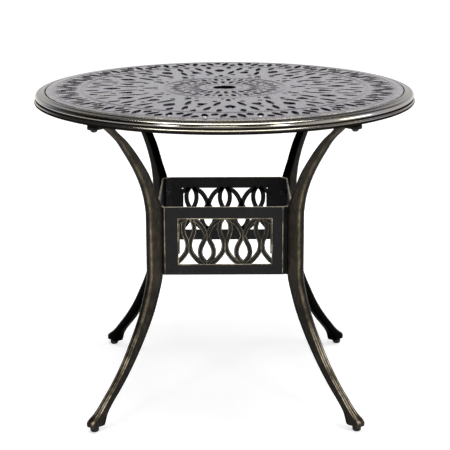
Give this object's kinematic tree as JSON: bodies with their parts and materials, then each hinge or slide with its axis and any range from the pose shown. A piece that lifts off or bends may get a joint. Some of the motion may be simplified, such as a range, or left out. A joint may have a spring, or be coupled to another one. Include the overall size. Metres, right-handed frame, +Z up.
{
  "type": "umbrella table",
  "caption": "Round openwork patio table with a central umbrella hole, curved legs tied by lattice panels, and levelling glides.",
  "frame": {"origin": "on the floor, under the centre of the umbrella hole", "axes": "+Z up, -Y towards the front panel, +X to the right seen from the front"},
  "size_m": [0.9, 0.9, 0.751],
  "materials": {
    "cast_bronze": "dark bronze powder coat, gold rubbed on the ridges",
    "rim_bronze": "glossy antique bronze powder coat",
    "black_steel": "black oxide",
    "zinc_steel": "zinc plated",
    "black_plastic": "moulded, matte"
  },
  "bodies": {
    "table": {"top_lattice": "cast_bronze", "top_rim": "rim_bronze", "lattice_screw_1": "zinc_steel", "lattice_screw_2": "zinc_steel", "lattice_screw_3": "zinc_steel", "lattice_screw_4": "zinc_steel", "lattice_screw_5": "zinc_steel", "lattice_screw_6": "zinc_steel", "lattice_screw_7": "zinc_steel", "lattice_screw_8": "zinc_steel", "panel_front": "cast_bronze", "panel_right": "cast_bronze", "panel_back": "cast_bronze", "panel_left": "cast_bronze", "leg_front_left": "cast_bronze", "leg_bolt_front_left": "black_steel", "leg_washer_front_left": "black_steel", "panel_bolt_front_left_lower": "black_steel", "panel_washer_front_left_lower": "zinc_steel", "panel_bolt_front_left_upper": "black_steel", "panel_washer_front_left_upper": "zinc_steel", "foot_insert_front_left": "zinc_steel", "leg_front_right": "cast_bronze", "leg_bolt_front_right": "black_steel", "leg_washer_front_right": "black_steel", "panel_bolt_front_right_lower": "black_steel", "panel_washer_front_right_lower": "zinc_steel", "panel_bolt_front_right_upper": "black_steel", "panel_washer_front_right_upper": "zinc_steel", "foot_insert_front_right": "zinc_steel", "leg_back_right": "cast_bronze", "leg_bolt_back_right": "black_steel", "leg_washer_back_right": "black_steel", "panel_bolt_back_right_lower": "black_steel", "panel_washer_back_right_lower": "zinc_steel", "panel_bolt_back_right_upper": "black_steel", "panel_washer_back_right_upper": "zinc_steel", "foot_insert_back_right": "zinc_steel", "leg_back_left": "cast_bronze", "leg_bolt_back_left": "black_steel", "leg_washer_back_left": "black_steel", "panel_bolt_back_left_lower": "black_steel", "panel_washer_back_left_lower": "zinc_steel", "panel_bolt_back_left_upper": "black_steel", "panel_washer_back_left_upper": "zinc_steel", "foot_insert_back_left": "zinc_steel"},
    "glide_front_left": {"glide_base_front_left": "black_plastic", "glide_stud_front_left": "zinc_steel"},
    "glide_front_right": {"glide_base_front_right": "black_plastic", "glide_stud_front_right": "zinc_steel"},
    "glide_back_right": {"glide_base_back_right": "black_plastic", "glide_stud_back_right": "zinc_steel"},
    "glide_back_left": {"glide_base_back_left": "black_plastic", "glide_stud_back_left": "zinc_steel"}
  },
  "joints": [
    {"name": "glide_front_left_slide", "type": "slide", "parent": "table", "child": "glide_front_left", "axis": [0, 0, -1], "range_m": [0, 0.012]},
    {"name": "glide_front_right_slide", "type": "slide", "parent": "table", "child": "glide_front_right", "axis": [0, 0, -1], "range_m": [0, 0.012]},
    {"name": "glide_back_right_slide", "type": "slide", "parent": "table", "child": "glide_back_right", "axis": [0, 0, -1], "range_m": [0, 0.012]},
    {"name": "glide_back_left_slide", "type": "slide", "parent": "table", "child": "glide_back_left", "axis": [0, 0, -1], "range_m": [0, 0.012]}
  ]
}
